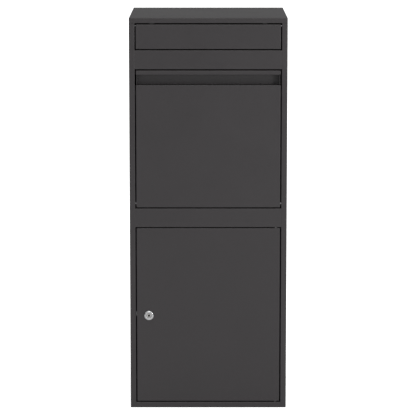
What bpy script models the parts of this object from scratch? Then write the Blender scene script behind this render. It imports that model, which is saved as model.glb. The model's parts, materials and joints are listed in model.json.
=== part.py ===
"""Free-standing steel parcel and letter box, built as separate folded-sheet pieces.

Frame: metres, +Z up, +X to the right of someone facing the front, front at -Y.
The origin is the centre of the base's underside, where the box stands on the floor.
Each moving group hangs from an empty that sits on its joint axis.
"""
import math

import bmesh
import bpy
from mathutils import Matrix, Vector

for _ob in list(bpy.data.objects):
    bpy.data.objects.remove(_ob, do_unlink=True)

# ---------------------------------------------------------------- overall sizes
WIDTH = 0.410
DEPTH = 0.385
HEIGHT = 1.030
HALF_W = WIDTH / 2
FRONT = -DEPTH / 2
BACK = DEPTH / 2

SHEET = 0.0015          # sheet thickness of every folded piece
BEND = 0.0025           # outside radius of a fold
GAP = 0.0003            # clearance between pieces that touch

# ---------------------------------------------------------------- front layout
STILE = 0.015           # width of the side panels' front face
STILE_RETURN = 0.0165   # how far the stile folds back into the opening
OPEN_X = HALF_W - STILE             # half width of the opening
LEAF_X = 0.1876                     # half width of flaps and door
RAIL_X = OPEN_X - GAP
LEAF_DEPTH = 0.018                  # depth of door and parcel flap folds
RAIL_DEPTH = 0.018

CAP_LIP_Z = 1.016                   # lower edge of the cap's lips
LETTER_Z = (0.9487, 1.0128)         # letter flap, bottom and top
UPPER_RAIL_Z = (0.8965, 0.9461)
PARCEL_Z = (0.5352, 0.8938)         # parcel flap, bottom and top
GRIP_Z = (0.8558, 0.8822)           # recessed grip, floor and ceiling
GRIP_DEPTH = 0.030
MIDDLE_RAIL_Z = (0.4829, 0.5328)
DOOR_Z = (0.0174, 0.4808)
BOTTOM_RAIL_Z = (0.0, 0.0150)

# ---------------------------------------------------------------- joint axes
LETTER_AXIS = (-0.1860, 1.0088)     # y, z of the letter flap's pivots
LETTER_PIN_R = 0.0022
LETTER_FOLD = 0.012
PARCEL_AXIS = (-0.1860, 0.5455)     # y, z of the parcel flap's pivots
PARCEL_PIN_R = 0.0030
DOOR_AXIS = (0.1766, -0.1850)       # x, y of the door's hinge pins
DOOR_PIN_R = 0.0030
LOCK_AXIS = (-0.1557, 0.2486)       # x, z of the lock

# ---------------------------------------------------------------- hopper
CHEEK_R = 0.343                     # sweep radius of the hopper cheeks
CHEEK_ANGLE = math.radians(42.0)    # how far back the cheeks reach from the flap
TRAY_DROP = math.radians(22.0)      # slope of the closed tray, down to the back
TRAY_END_Y = 0.004
TRAY_TOP_Z = 0.5565                 # height where the tray leaves the flap

# ---------------------------------------------------------------- lock
LOCK_FACE_R = 0.0127
LOCK_FACE_Y = -0.1974               # front of the lock's face
LOCK_BARREL_R = 0.0095
LOCK_PLUG_R = 0.0060
CAM_LENGTH = 0.0450
CAM_WIDTH = 0.0110
CAM_Y = (-0.1727, -0.1702)

SIDES = 24                          # facets of a round piece


# ================================================================ helpers
def material(name, colour, roughness, metallic):
    """One Principled BSDF with the piece's own finish."""
    mat = bpy.data.materials.new(name)
    mat.use_nodes = True
    bsdf = mat.node_tree.nodes["Principled BSDF"]
    bsdf.inputs["Base Color"].default_value = (*colour, 1.0)
    bsdf.inputs["Roughness"].default_value = roughness
    bsdf.inputs["Metallic"].default_value = metallic
    return mat


FINISH = {
    "paint": ((0.056, 0.054, 0.055), 0.55, 0.0),
    "zinc": ((0.62, 0.62, 0.63), 0.35, 1.0),
    "chrome": ((0.80, 0.80, 0.81), 0.12, 1.0),
    "brass": ((0.72, 0.60, 0.36), 0.30, 1.0),
    "nylon": ((0.40, 0.40, 0.39), 0.50, 0.0),
    "rubber": ((0.02, 0.02, 0.02), 0.85, 0.0),
}


def add(name, bm, finish, parent=None):
    """Turn a bmesh in world coordinates into the named object."""
    bmesh.ops.remove_doubles(bm, verts=bm.verts, dist=1e-7)
    bmesh.ops.recalc_face_normals(bm, faces=bm.faces)
    mesh = bpy.data.meshes.new(name)
    bm.to_mesh(mesh)
    bm.free()
    ob = bpy.data.objects.new(name, mesh)
    bpy.context.scene.collection.objects.link(ob)
    colour, roughness, metallic = FINISH[finish]
    mesh.materials.append(material(name, colour, roughness, metallic))
    if parent is not None:
        origin = parent.location.copy()
        mesh.transform(Matrix.Translation(-origin))
        ob.parent = parent
    return ob


def empty(name, location):
    ob = bpy.data.objects.new(name, None)
    ob.location = location
    ob.empty_display_size = 0.03
    bpy.context.scene.collection.objects.link(ob)
    return ob


def tool(name, bm):
    """A cutter or a shape to be united: never a piece of the box itself."""
    bmesh.ops.remove_doubles(bm, verts=bm.verts, dist=1e-7)
    bmesh.ops.recalc_face_normals(bm, faces=bm.faces)
    mesh = bpy.data.meshes.new(name)
    bm.to_mesh(mesh)
    bm.free()
    ob = bpy.data.objects.new(name, mesh)
    bpy.context.scene.collection.objects.link(ob)
    ob.hide_render = True
    ob.display_type = "WIRE"
    return ob


def boolean(ob, other, operation):
    mod = ob.modifiers.new(operation.lower() + "_" + other.name, "BOOLEAN")
    mod.operation = operation
    mod.solver = "EXACT"
    mod.object = other


def prism(loop, axis, a, b):
    """Extrude a flat closed outline from a to b along an axis.

    The outline is (y, z) for axis X, (x, z) for axis Y and (x, y) for axis Z.
    """
    place = {"X": lambda u, v: (a, u, v), "Y": lambda u, v: (u, a, v), "Z": lambda u, v: (u, v, a)}[axis]
    step = {"X": Vector((b - a, 0, 0)), "Y": Vector((0, b - a, 0)), "Z": Vector((0, 0, b - a))}[axis]
    bm = bmesh.new()
    verts = [bm.verts.new(place(u, v)) for u, v in loop]
    face = bm.faces.new(verts)
    grown = bmesh.ops.extrude_face_region(bm, geom=[face])
    moved = [g for g in grown["geom"] if isinstance(g, bmesh.types.BMVert)]
    bmesh.ops.translate(bm, verts=moved, vec=step)
    bmesh.ops.recalc_face_normals(bm, faces=bm.faces)
    return bm


def block(lo, hi, bevel=0.0, pick=None, segments=3):
    """A box between two corners; edges that pick accepts are rounded."""
    bm = prism([(lo[0], lo[1]), (hi[0], lo[1]), (hi[0], hi[1]), (lo[0], hi[1])], "Z", lo[2], hi[2])
    if bevel > 0:
        edges = [e for e in bm.edges if pick is None or pick(e)]
        bmesh.ops.bevel(bm, geom=edges, offset=bevel, segments=segments, profile=0.5,
                        affect="EDGES", clamp_overlap=True)
    return bm


def edge_on(e, axis, value):
    """True if both ends of an edge lie at the value on the axis (0, 1, 2)."""
    return all(abs(v.co[axis] - value) < 1e-6 for v in e.verts)


def edge_along(e, axis):
    d = e.verts[1].co - e.verts[0].co
    return abs(d[axis]) > 0.99 * d.length


def folded(points, side, bend=BEND, sheet=SHEET, steps=3):
    """Outline of a sheet that follows points on one surface.

    side is +1 if the sheet's material is left of the travel direction, -1 if right.
    A fold towards the material has the outside radius bend; a fold away from it has
    the matching inside radius, so that the sheet keeps its thickness round both.
    """
    near, far = [], []

    def unit(p, q):
        d = Vector(q) - Vector(p)
        return d.normalized()

    def normal(d):
        return Vector((-d.y, d.x)) * side

    first = unit(points[0], points[1])
    p0 = Vector(points[0])
    near.append(p0)
    far.append(p0 + normal(first) * sheet)
    for i in range(1, len(points) - 1):
        v = Vector(points[i])
        d0, d1 = unit(points[i - 1], points[i]), unit(points[i], points[i + 1])
        n0, n1 = normal(d0), normal(d1)
        turn = (d0.x * d1.y - d0.y * d1.x) * side
        toward = turn > 0
        r_near = bend if toward else bend - sheet
        r_far = bend - sheet if toward else bend
        sign = 1.0 if toward else -1.0
        half = math.acos(max(-1.0, min(1.0, d0.dot(d1)))) / 2
        back = r_near * math.tan(half)
        centre = v - d0 * back + n0 * (sign * r_near)
        a0, a1 = -n0 * sign, -n1 * sign
        ang0 = math.atan2(a0.y, a0.x)
        ang1 = math.atan2(a1.y, a1.x)
        delta = (ang1 - ang0 + math.pi) % (2 * math.pi) - math.pi
        for k in range(steps + 1):
            a = ang0 + delta * k / steps
            u = Vector((math.cos(a), math.sin(a)))
            near.append(centre + u * r_near)
            far.append(centre + u * r_far)
    last = unit(points[-2], points[-1])
    p1 = Vector(points[-1])
    near.append(p1)
    far.append(p1 + normal(last) * sheet)
    return [tuple(p) for p in near] + [tuple(p) for p in reversed(far)]


def turned(profile, axis_point, axis, sides=SIDES):
    """Spin a closed (radius, along) outline into a ring or a shaft."""
    bm = bmesh.new()
    frame = {"X": (Vector((0, 1, 0)), Vector((1, 0, 0))),
             "Y": (Vector((1, 0, 0)), Vector((0, 1, 0))),
             "Z": (Vector((1, 0, 0)), Vector((0, 0, 1)))}[axis]
    radial, along = frame
    base = Vector(axis_point)
    verts = [bm.verts.new(base + radial * r + along * h) for r, h in profile]
    edges = [bm.edges.new((verts[i], verts[(i + 1) % len(verts)])) for i in range(len(verts))]
    if any(r < 1e-9 for r, _ in profile):
        edges = [e for e in edges if not all((v.co - base - along * (v.co - base).dot(along)).length < 1e-9
                                             for v in e.verts)]
    bmesh.ops.spin(bm, geom=verts + edges, cent=base, axis=along, dvec=(0, 0, 0),
                   angle=2 * math.pi, steps=sides, use_merge=False, use_duplicate=False)
    bmesh.ops.remove_doubles(bm, verts=bm.verts, dist=1e-6)
    loose = [e for e in bm.edges if not e.link_faces]
    bmesh.ops.delete(bm, geom=loose, context="EDGES")
    bmesh.ops.recalc_face_normals(bm, faces=bm.faces)
    return bm


def rod(radius, a, b, axis_point, axis, sides=SIDES):
    return turned([(0, a), (radius, a), (radius, b), (0, b)], axis_point, axis, sides)


def smooth(ob, angle=35.0):
    ob.data.shade_smooth()
    ob.data.set_sharp_from_angle(angle=math.radians(angle))


def tub(lo, hi, open_side, bend=BEND, sheet=SHEET, corner=0.0015):
    """A tray folded from one sheet: a rounded box emptied towards open_side.

    open_side is "back" (+Y) or "down" (-Z). Returns the outer bmesh and the cutter's bmesh.
    """
    if open_side == "back":
        axis, face_value = 1, lo[1]
    else:
        axis, face_value = 2, hi[2]

    def rounded(e):
        return edge_on(e, axis, face_value)

    def upright(e):
        return edge_along(e, axis)

    bm = block(lo, hi)
    bmesh.ops.bevel(bm, geom=[e for e in bm.edges if upright(e)], offset=corner, segments=2,
                    profile=0.5, affect="EDGES", clamp_overlap=True)
    bmesh.ops.bevel(bm, geom=[e for e in bm.edges if rounded(e)], offset=bend, segments=3,
                    profile=0.5, affect="EDGES", clamp_overlap=True)
    ilo = [c + sheet for c in lo]
    ihi = [c - sheet for c in hi]
    if open_side == "back":
        ihi[1] = hi[1] + 0.01
    else:
        ilo[2] = lo[2] - 0.01
    inner_bend = max(bend - sheet, 0.0004)
    inner = block(tuple(ilo), tuple(ihi))
    value = ilo[1] if open_side == "back" else ihi[2]
    bmesh.ops.bevel(inner, geom=[e for e in inner.edges if edge_on(e, axis, value)], offset=inner_bend,
                    segments=2, profile=0.5, affect="EDGES", clamp_overlap=True)
    return bm, inner


# ================================================================ joint empties
letter_axis = empty("letter_axis", (0, LETTER_AXIS[0], LETTER_AXIS[1]))
parcel_axis = empty("parcel_axis", (0, PARCEL_AXIS[0], PARCEL_AXIS[1]))
door_axis = empty("door_axis", (DOOR_AXIS[0], DOOR_AXIS[1], 0.25))
lock_axis = empty("lock_axis", (LOCK_AXIS[0], CAM_Y[0], LOCK_AXIS[1]))


# ================================================================ cabinet
def side_panel(name, s):
    """Side wall, 15 mm front stile and its fold back into the opening, in one sheet."""
    outline = folded([(s * OPEN_X, FRONT + STILE_RETURN), (s * OPEN_X, FRONT),
                      (s * HALF_W, FRONT), (s * HALF_W, BACK)], side=s)
    ob = add(name, prism(outline, "Z", 0.0, CAP_LIP_Z - GAP), "paint")
    word = "left" if s < 0 else "right"
    for what, (y, z), r in (("letter", LETTER_AXIS, 0.0036), ("parcel", PARCEL_AXIS, 0.0042)):
        hole = tool("cut_%s_hole_%s" % (what, word),
                    rod(r, s * (OPEN_X - 0.001), s * (OPEN_X + SHEET + 0.001), (0, y, z), "X"))
        boolean(ob, hole, "DIFFERENCE")
    return ob


side_panel("side_panel_left", -1)
side_panel("side_panel_right", 1)

outer, inner = tub((-HALF_W, FRONT, CAP_LIP_Z), (HALF_W, BACK, HEIGHT), "down", corner=0.0025)
top_cap = add("top_cap", outer, "paint")
boolean(top_cap, tool("cut_top_cap", inner), "DIFFERENCE")

BACK_X = HALF_W - SHEET - GAP
BACK_FOLD = 0.015
back_panel = add("back_panel", prism(folded(
    [(-BACK_X, BACK - BACK_FOLD), (-BACK_X, BACK), (BACK_X, BACK), (BACK_X, BACK - BACK_FOLD)],
    side=-1, bend=0.002), "Z", 0.0, CAP_LIP_Z - GAP), "paint")
WALL_HOLES = [(sx * 0.140, z) for z in (0.180, 0.930) for sx in (-1, 1)]
for i, (x, z) in enumerate(WALL_HOLES, 1):
    boolean(back_panel, tool("cut_wall_hole_%d" % i, rod(0.0050, BACK - 0.004, BACK + 0.002, (x, 0, z), "Y", 16)),
            "DIFFERENCE")

BASE_UP = 0.020
fx, fy = RAIL_X, FRONT + SHEET + GAP
notch_y = FRONT + STILE_RETURN + GAP
rear_y = BACK - BACK_FOLD - GAP
rear_x = BACK_X - SHEET - GAP
end_y = BACK - SHEET - GAP
base_outline = [(-fx, fy), (fx, fy), (fx, notch_y), (BACK_X, notch_y), (BACK_X, rear_y), (rear_x, rear_y),
                (rear_x, end_y), (-rear_x, end_y), (-rear_x, rear_y), (-BACK_X, rear_y), (-BACK_X, notch_y),
                (-fx, notch_y)]
base_pan = add("base_pan", prism(base_outline, "Z", 0.0, BASE_UP), "paint")
boolean(base_pan, tool("cut_base_pan", block((-BACK_X + SHEET, FRONT - 0.01, SHEET),
                                             (BACK_X - SHEET, end_y - SHEET, BASE_UP + 0.01))), "DIFFERENCE")
FLOOR_HOLES = [(sx * 0.140, sy * 0.115) for sy in (-1, 1) for sx in (-1, 1)]
for i, (x, y) in enumerate(FLOOR_HOLES, 1):
    boolean(base_pan, tool("cut_floor_hole_%d" % i, rod(0.0050, -0.002, 0.004, (x, y, 0), "Z", 16)), "DIFFERENCE")


def rail(name, z0, z1):
    """Cross rail: a channel between the stiles, flush with them."""
    outline = folded([(FRONT + RAIL_DEPTH, z0), (FRONT, z0), (FRONT, z1), (FRONT + RAIL_DEPTH, z1)], side=-1)
    return add(name, prism(outline, "X", -RAIL_X, RAIL_X), "paint")


rail("upper_rail", *UPPER_RAIL_Z)
middle_rail = rail("middle_rail", *MIDDLE_RAIL_Z)
bottom_rail = add("bottom_rail", prism(folded(
    [(FRONT, BOTTOM_RAIL_Z[0]), (FRONT, BOTTOM_RAIL_Z[1]), (FRONT + RAIL_DEPTH, BOTTOM_RAIL_Z[1])], side=-1),
    "X", -RAIL_X, RAIL_X), "paint")
boolean(middle_rail, tool("cut_pin_hole_top", rod(DOOR_PIN_R + GAP, MIDDLE_RAIL_Z[0] - 0.001,
                                                  MIDDLE_RAIL_Z[0] + 0.003, (*DOOR_AXIS, 0), "Z")), "DIFFERENCE")
boolean(bottom_rail, tool("cut_pin_hole_bottom", rod(DOOR_PIN_R + GAP, BOTTOM_RAIL_Z[1] - 0.003,
                                                     BOTTOM_RAIL_Z[1] + 0.001, (*DOOR_AXIS, 0), "Z")), "DIFFERENCE")

# Chute behind the letter slot: up behind the upper rail, then down to the back.
CHUTE_Y = FRONT + RAIL_DEPTH + 0.0020
add("letter_chute", prism(folded([(CHUTE_Y, 0.915), (CHUTE_Y, 0.944), (-0.060, 0.903), (-0.060, 0.886)],
                                 side=-1), "X", -0.2030, 0.2030), "paint")

# Baffle on the back wall: it stops a hand reaching past the open hopper.
GUARD_Y = BACK - SHEET - GAP
add("fishing_guard", prism(folded([(GUARD_Y, 0.745), (GUARD_Y, 0.715), (0.032, 0.642), (0.032, 0.657)],
                                  side=-1), "X", -0.2012, 0.2012), "paint")

# Bracket on the left wall that the cam pulls against.
strike_wall = -(HALF_W - SHEET - GAP)
add("strike_plate", prism(folded([(strike_wall, -0.158), (strike_wall, FRONT + STILE_RETURN + 0.0004),
                                  (-0.1881, FRONT + STILE_RETURN + 0.0004)], side=1, bend=0.002),
                          "Z", 0.2440, 0.2555), "zinc")


def bush(name, s, centre, bore, barrel, flange):
    """Flanged nylon bush in a stile's fold, flange on the hidden side."""
    y, z = centre
    a = s * (OPEN_X + GAP)
    b = s * (OPEN_X + SHEET + GAP)
    c = s * (OPEN_X + SHEET + GAP + 0.0022)
    prof = [(bore, a), (barrel, a), (barrel, b), (flange, b), (flange, c), (bore, c)]
    ob = add(name, turned(prof, (0, y, z), "X"), "nylon")
    smooth(ob)
    return ob


for s, word in ((-1, "left"), (1, "right")):
    bush("letter_bush_" + word, s, LETTER_AXIS, LETTER_PIN_R + 0.00015, 0.0033, 0.0042)
    bush("parcel_bush_" + word, s, PARCEL_AXIS, PARCEL_PIN_R + 0.00015, 0.0039, 0.0043)


def door_pin(name, shaft, collar):
    prof = [(0, shaft[0]), (DOOR_PIN_R, shaft[0])]
    if collar[0] > shaft[0]:
        prof += [(DOOR_PIN_R, collar[0])]
    prof += [(0.0050, collar[0]), (0.0050, collar[1]), (DOOR_PIN_R, collar[1]), (DOOR_PIN_R, shaft[1]), (0, shaft[1])]
    ob = add(name, turned(prof, (*DOOR_AXIS, 0), "Z"), "zinc")
    smooth(ob)
    return ob


door_pin("door_pin_top", (0.4740, 0.4890), (MIDDLE_RAIL_Z[0] + SHEET + GAP, MIDDLE_RAIL_Z[0] + SHEET + GAP + 0.0025))
door_pin("door_pin_bottom", (0.0090, 0.0240), (BOTTOM_RAIL_Z[1] - SHEET - GAP - 0.0025, BOTTOM_RAIL_Z[1] - SHEET - GAP))

# Rubber stops: the folds of the closed door and flaps rest on them.
STOP_Y = (FRONT + LEAF_DEPTH + GAP, FRONT + LEAF_DEPTH + 0.0085)
for name, x0, x1, z0, z1 in (("door_buffer_upper", -0.2000, -0.1864, 0.4000, 0.4140),
                             ("door_buffer_lower", -0.2000, -0.1864, 0.0700, 0.0840),
                             ("flap_buffer_left", -0.2000, -0.1864, 0.8260, 0.8400),
                             ("flap_buffer_right", 0.1864, 0.2000, 0.8260, 0.8400)):
    add(name, block((x0, STOP_Y[0], z0), (x1, STOP_Y[1], z1), bevel=0.001, segments=1), "rubber")
for name, s in (("letter_stop_left", -1), ("letter_stop_right", 1)):
    xs = sorted((s * 0.140, s * 0.152))
    add(name, block((xs[0], FRONT + LETTER_FOLD + GAP, 1.0100), (xs[1], -0.1720, HEIGHT - SHEET - GAP),
                    bevel=0.001, segments=1), "rubber")


def plug(name, centre, axis, out):
    """Blanking plug: a stem in the hole and a flange on the inside of the sheet."""
    face = 0.0 if axis == "Z" else BACK
    stem = face + out * GAP
    seat = face + out * (SHEET + GAP)
    top = face + out * (SHEET + GAP + 0.0020)
    prof = [(0, stem), (0.0047, stem), (0.0047, seat), (0.0085, seat), (0.0078, top), (0, top)]
    ob = add(name, turned(prof, centre, axis, 16), "rubber")
    smooth(ob)
    return ob


for i, (x, y) in enumerate(FLOOR_HOLES, 1):
    plug("base_plug_%d" % i, (x, y, 0), "Z", 1)
for i, (x, z) in enumerate(WALL_HOLES, 1):
    plug("back_plug_%d" % i, (x, 0, z), "Y", -1)

# ================================================================ letter flap
outer, inner = tub((-LEAF_X, FRONT, LETTER_Z[0]), (LEAF_X, FRONT + LETTER_FOLD, LETTER_Z[1]), "back")
letter_flap = add("letter_flap", outer, "paint", letter_axis)
boolean(letter_flap, tool("cut_letter_flap", inner), "DIFFERENCE")
for s, word in ((-1, "left"), (1, "right")):
    y, z = LETTER_AXIS
    boolean(letter_flap, tool("cut_letter_pin_" + word,
                              rod(LETTER_PIN_R + GAP, s * (LEAF_X - 0.003), s * (LEAF_X + 0.002), (0, y, z), "X", 16)),
            "DIFFERENCE")
    inside = LEAF_X - SHEET - GAP
    smooth(add("letter_pin_" + word, rod(LETTER_PIN_R, s * (inside - 0.003), s * (OPEN_X + 0.0055), (0, y, z), "X", 20),
               "zinc", letter_axis))

# ================================================================ parcel flap and hopper
g0, g1 = GRIP_Z
p0, p1 = PARCEL_Z
grip_back = FRONT + GRIP_DEPTH
flap_line = [(FRONT + 0.0165, p1), (FRONT, p1), (FRONT, g1), (grip_back, g1), (grip_back, g0), (FRONT, g0),
             (FRONT, p0), (FRONT + LEAF_DEPTH, p0)]
parcel_flap = add("parcel_flap", prism(folded(flap_line, side=1, bend=0.0022), "X", -LEAF_X, LEAF_X), "paint",
                  parcel_axis)
for s, word in ((-1, "left"), (1, "right")):
    xs = sorted((s * (LEAF_X - 0.0001), s * (LEAF_X - SHEET)))
    for part, z0, z1, y1 in (("lower", p0 + 0.0008, g0 - 0.0008, FRONT + LEAF_DEPTH),
                             ("upper", g1 + 0.0008, p1 - 0.0008, FRONT + 0.0160)):
        boolean(parcel_flap, tool("join_flap_%s_%s" % (part, word),
                                  block((xs[0], FRONT + 0.0008, z0), (xs[1], y1, z1))), "UNION")
    y, z = PARCEL_AXIS
    boolean(parcel_flap, tool("cut_parcel_pin_" + word,
                              rod(PARCEL_PIN_R + GAP, s * (LEAF_X - 0.003), s * (LEAF_X + 0.002), (0, y, z), "X")),
            "DIFFERENCE")

CHEEK_OUT = LEAF_X - SHEET - GAP
CHEEK_IN = CHEEK_OUT - SHEET
py, pz = PARCEL_AXIS
tray_len = (TRAY_END_Y - (FRONT + SHEET + GAP)) / math.cos(TRAY_DROP)
tray_end = (TRAY_END_Y, TRAY_TOP_Z - tray_len * math.sin(TRAY_DROP))
cheek_front = FRONT + SHEET + GAP
behind_grip = grip_back + SHEET + GAP
top_z = pz + math.sqrt(CHEEK_R ** 2 - (behind_grip - py) ** 2)
a_start = math.atan2(behind_grip - py, top_z - pz)
arc = []
for k in range(13):
    a = a_start + (CHEEK_ANGLE - a_start) * k / 12
    arc.append((py + CHEEK_R * math.sin(a), pz + CHEEK_R * math.cos(a)))
cheek_outline = [(cheek_front, p0 + SHEET + 0.0025), (cheek_front, g0 - SHEET - 0.0025),
                 (cheek_front + 0.002, g0 - SHEET - GAP), (behind_grip, g0 - SHEET - GAP)] + arc + \
                [(tray_end[0] + 0.001, tray_end[1] - 0.012), (tray_end[0] - 0.010, tray_end[1] - 0.012),
                 (FRONT + LEAF_DEPTH + 0.003, p0 + SHEET + GAP), (cheek_front + 0.002, p0 + SHEET + GAP)]
for s, word in ((-1, "left"), (1, "right")):
    cheek = add("hopper_cheek_" + word, prism(cheek_outline, "X", s * CHEEK_IN, s * CHEEK_OUT), "paint", parcel_axis)
    boolean(cheek, tool("cut_cheek_pin_" + word,
                        rod(PARCEL_PIN_R + GAP, s * (CHEEK_IN - 0.002), s * (CHEEK_OUT + 0.0001), (0, py, pz), "X")),
            "DIFFERENCE")
    cheek.modifiers[-1].object.data.transform(Matrix.Translation((s * 0.0005, 0, 0)))
    add("grip_end_" + word, block((min(s * CHEEK_IN, s * CHEEK_OUT), FRONT + 0.0017, g0 + GAP),
                                  (max(s * CHEEK_IN, s * CHEEK_OUT), grip_back - GAP, g1 - GAP),
                                  bevel=0.0010, pick=lambda e: edge_along(e, 0) and edge_on(e, 1, grip_back - GAP),
                                  segments=1),
        "paint", parcel_axis)
    prof = [(0, s * (OPEN_X + 0.0065)), (PARCEL_PIN_R, s * (OPEN_X + 0.0065)), (PARCEL_PIN_R, s * (CHEEK_IN - GAP)),
            (0.0050, s * (CHEEK_IN - GAP)), (0.0050, s * (CHEEK_IN - GAP - 0.0018)), (0, s * (CHEEK_IN - GAP - 0.0018))]
    smooth(add("parcel_pin_" + word, turned(prof, (0, py, pz), "X"), "zinc", parcel_axis))

TRAY_X = CHEEK_IN - GAP
add("hopper_tray", prism(folded([(cheek_front, TRAY_TOP_Z + 0.028), (cheek_front, TRAY_TOP_Z), tray_end,
                                 (tray_end[0] - 0.0005, tray_end[1] - 0.011)],
                                side=1), "X", -TRAY_X, TRAY_X), "paint", parcel_axis)

# ================================================================ door
outer, inner = tub((-LEAF_X, FRONT, DOOR_Z[0]), (LEAF_X, FRONT + LEAF_DEPTH, DOOR_Z[1]), "back")
door = add("door", outer, "paint", door_axis)
# The cavity stops one sheet short of the back, and the opening is smaller than it: that leaves
# an inward lip all round the folded edge.
DOOR_LIP = 0.009
door_back = FRONT + LEAF_DEPTH
inner.free()
inner = block((-LEAF_X + SHEET, FRONT + SHEET, DOOR_Z[0] + SHEET), (LEAF_X - SHEET, door_back - SHEET, DOOR_Z[1] - SHEET))
boolean(door, tool("cut_door", inner), "DIFFERENCE")
boolean(door, tool("cut_door_back", block((-LEAF_X + DOOR_LIP, door_back - SHEET - 0.0010, DOOR_Z[0] + DOOR_LIP),
                                          (LEAF_X - DOOR_LIP, door_back + 0.003, DOOR_Z[1] - DOOR_LIP))), "DIFFERENCE")
lx, lz = LOCK_AXIS
boolean(door, tool("cut_lock_hole", rod(LOCK_BARREL_R + GAP, FRONT - 0.002, FRONT + 0.004, (lx, 0, lz), "Y")),
        "DIFFERENCE")
BUSH_R = 0.0042
for word, z in (("top", DOOR_Z[1]), ("bottom", DOOR_Z[0])):
    boolean(door, tool("cut_bush_" + word, rod(BUSH_R + GAP, z - 0.003, z + 0.003, (*DOOR_AXIS, 0), "Z")),
            "DIFFERENCE")
    out = 1 if word == "top" else -1
    tip, seat, rear = z + out * 0.0014, z - out * (SHEET + GAP), z - out * (SHEET + GAP + 0.0020)
    bore = DOOR_PIN_R + 0.00015
    prof = [(bore, tip), (BUSH_R, tip), (BUSH_R, seat), (0.0052, seat), (0.0052, rear), (bore, rear)]
    smooth(add("door_bush_" + word, turned(prof, (*DOOR_AXIS, 0), "Z"), "nylon", door_axis))

inside = FRONT + SHEET + GAP
add("door_stiffener", prism(folded([(-0.045, inside), (-0.026, inside), (-0.020, inside + 0.0145),
                                    (0.020, inside + 0.0145), (0.026, inside), (0.045, inside)], side=1),
                            "Z", 0.040, 0.458), "paint", door_axis)

# ================================================================ lock
seat = FRONT - GAP - 0.0005 - GAP
housing = add("lock_housing", turned([(LOCK_PLUG_R + 0.00015, LOCK_FACE_Y + 0.0004), (LOCK_PLUG_R + 0.0007, LOCK_FACE_Y),
                                      (LOCK_FACE_R - 0.0022, LOCK_FACE_Y),
                                      (LOCK_FACE_R - 0.0006, LOCK_FACE_Y + 0.0010),
                                      (LOCK_FACE_R, LOCK_FACE_Y + 0.0026), (LOCK_FACE_R, seat), (LOCK_BARREL_R, seat),
                                      (LOCK_BARREL_R, -0.1740), (LOCK_PLUG_R + 0.00015, -0.1740)],
                                     (lx, 0, lz), "Y", 32), "chrome", door_axis)
smooth(housing)
smooth(add("lock_gasket", turned([(LOCK_BARREL_R + GAP, FRONT - GAP - 0.0005), (LOCK_FACE_R + 0.0008, FRONT - GAP - 0.0005),
                                  (LOCK_FACE_R + 0.0008, FRONT - GAP), (LOCK_BARREL_R + GAP, FRONT - GAP)],
                                 (lx, 0, lz), "Y", 32), "rubber", door_axis))

nut_r = 0.0115 / math.cos(math.pi / 6)
hexagon = [(lx + nut_r * math.cos(math.pi / 3 * k), lz + nut_r * math.sin(math.pi / 3 * k)) for k in range(6)]
lock_nut = add("lock_nut", prism(hexagon, "Y", inside, inside + 0.0040), "zinc", door_axis)
boolean(lock_nut, tool("cut_lock_nut", rod(LOCK_BARREL_R + GAP, inside - 0.002, inside + 0.006, (lx, 0, lz), "Y")),
        "DIFFERENCE")

STUB = 0.0032
plug_bm = turned([(0, LOCK_FACE_Y + 0.0003), (LOCK_PLUG_R - 0.0003, LOCK_FACE_Y + 0.0003),
                  (LOCK_PLUG_R, LOCK_FACE_Y + 0.0006), (LOCK_PLUG_R, CAM_Y[0] - GAP), (0, CAM_Y[0] - GAP)],
                 (lx, 0, lz), "Y")
lock_plug = add("lock_plug", plug_bm, "brass", lock_axis)
boolean(lock_plug, tool("join_stub", block((lx - STUB, CAM_Y[0] - 0.003, lz - STUB), (lx + STUB, CAM_Y[1] - 0.0003, lz + STUB))),
        "UNION")
boolean(lock_plug, tool("cut_keyway", block((lx - 0.0007, LOCK_FACE_Y - 0.002, lz - 0.0036),
                                            (lx + 0.0007, LOCK_FACE_Y + 0.012, lz + 0.0036))), "DIFFERENCE")
boolean(lock_plug, tool("cut_tapping", rod(0.0022, CAM_Y[1] - 0.009, CAM_Y[1] + 0.002, (lx, 0, lz), "Y", 16)),
        "DIFFERENCE")

# Cam: round hub and a straight arm, hanging down when the door is unlocked.
hub_r = 0.0090
reach = math.asin(CAM_WIDTH / 2 / hub_r)
cam_outline = []
for k in range(15):
    a = -math.pi / 2 + reach + (2 * math.pi - 2 * reach) * k / 14
    cam_outline.append((lx + hub_r * math.cos(a), lz + hub_r * math.sin(a)))
tip_z = lz - CAM_LENGTH
cam_outline += [(lx - CAM_WIDTH / 2, tip_z + 0.003), (lx - CAM_WIDTH / 2 + 0.003, tip_z),
                (lx + CAM_WIDTH / 2 - 0.003, tip_z), (lx + CAM_WIDTH / 2, tip_z + 0.003)]
lock_cam = add("lock_cam", prism(cam_outline, "Y", CAM_Y[0], CAM_Y[1]), "zinc", lock_axis)
hole = STUB + 0.00015
boolean(lock_cam, tool("cut_cam_hole", block((lx - hole, CAM_Y[0] - 0.002, lz - hole), (lx + hole, CAM_Y[1] + 0.002, lz + hole))),
        "DIFFERENCE")
head = CAM_Y[1] + GAP
smooth(add("cam_screw", turned([(0, CAM_Y[1] - 0.0080), (0.0020, CAM_Y[1] - 0.0080), (0.0020, head), (0.0055, head),
                                (0.0055, head + 0.0020), (0.0045, head + 0.0030), (0, head + 0.0030)],
                               (lx, 0, lz), "Y", 20), "zinc", lock_axis))
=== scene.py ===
"""Looks of the free-standing parcel and letter box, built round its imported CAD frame."""
import json
import math

import bmesh
import bpy
from mathutils import Matrix, Vector


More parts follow.
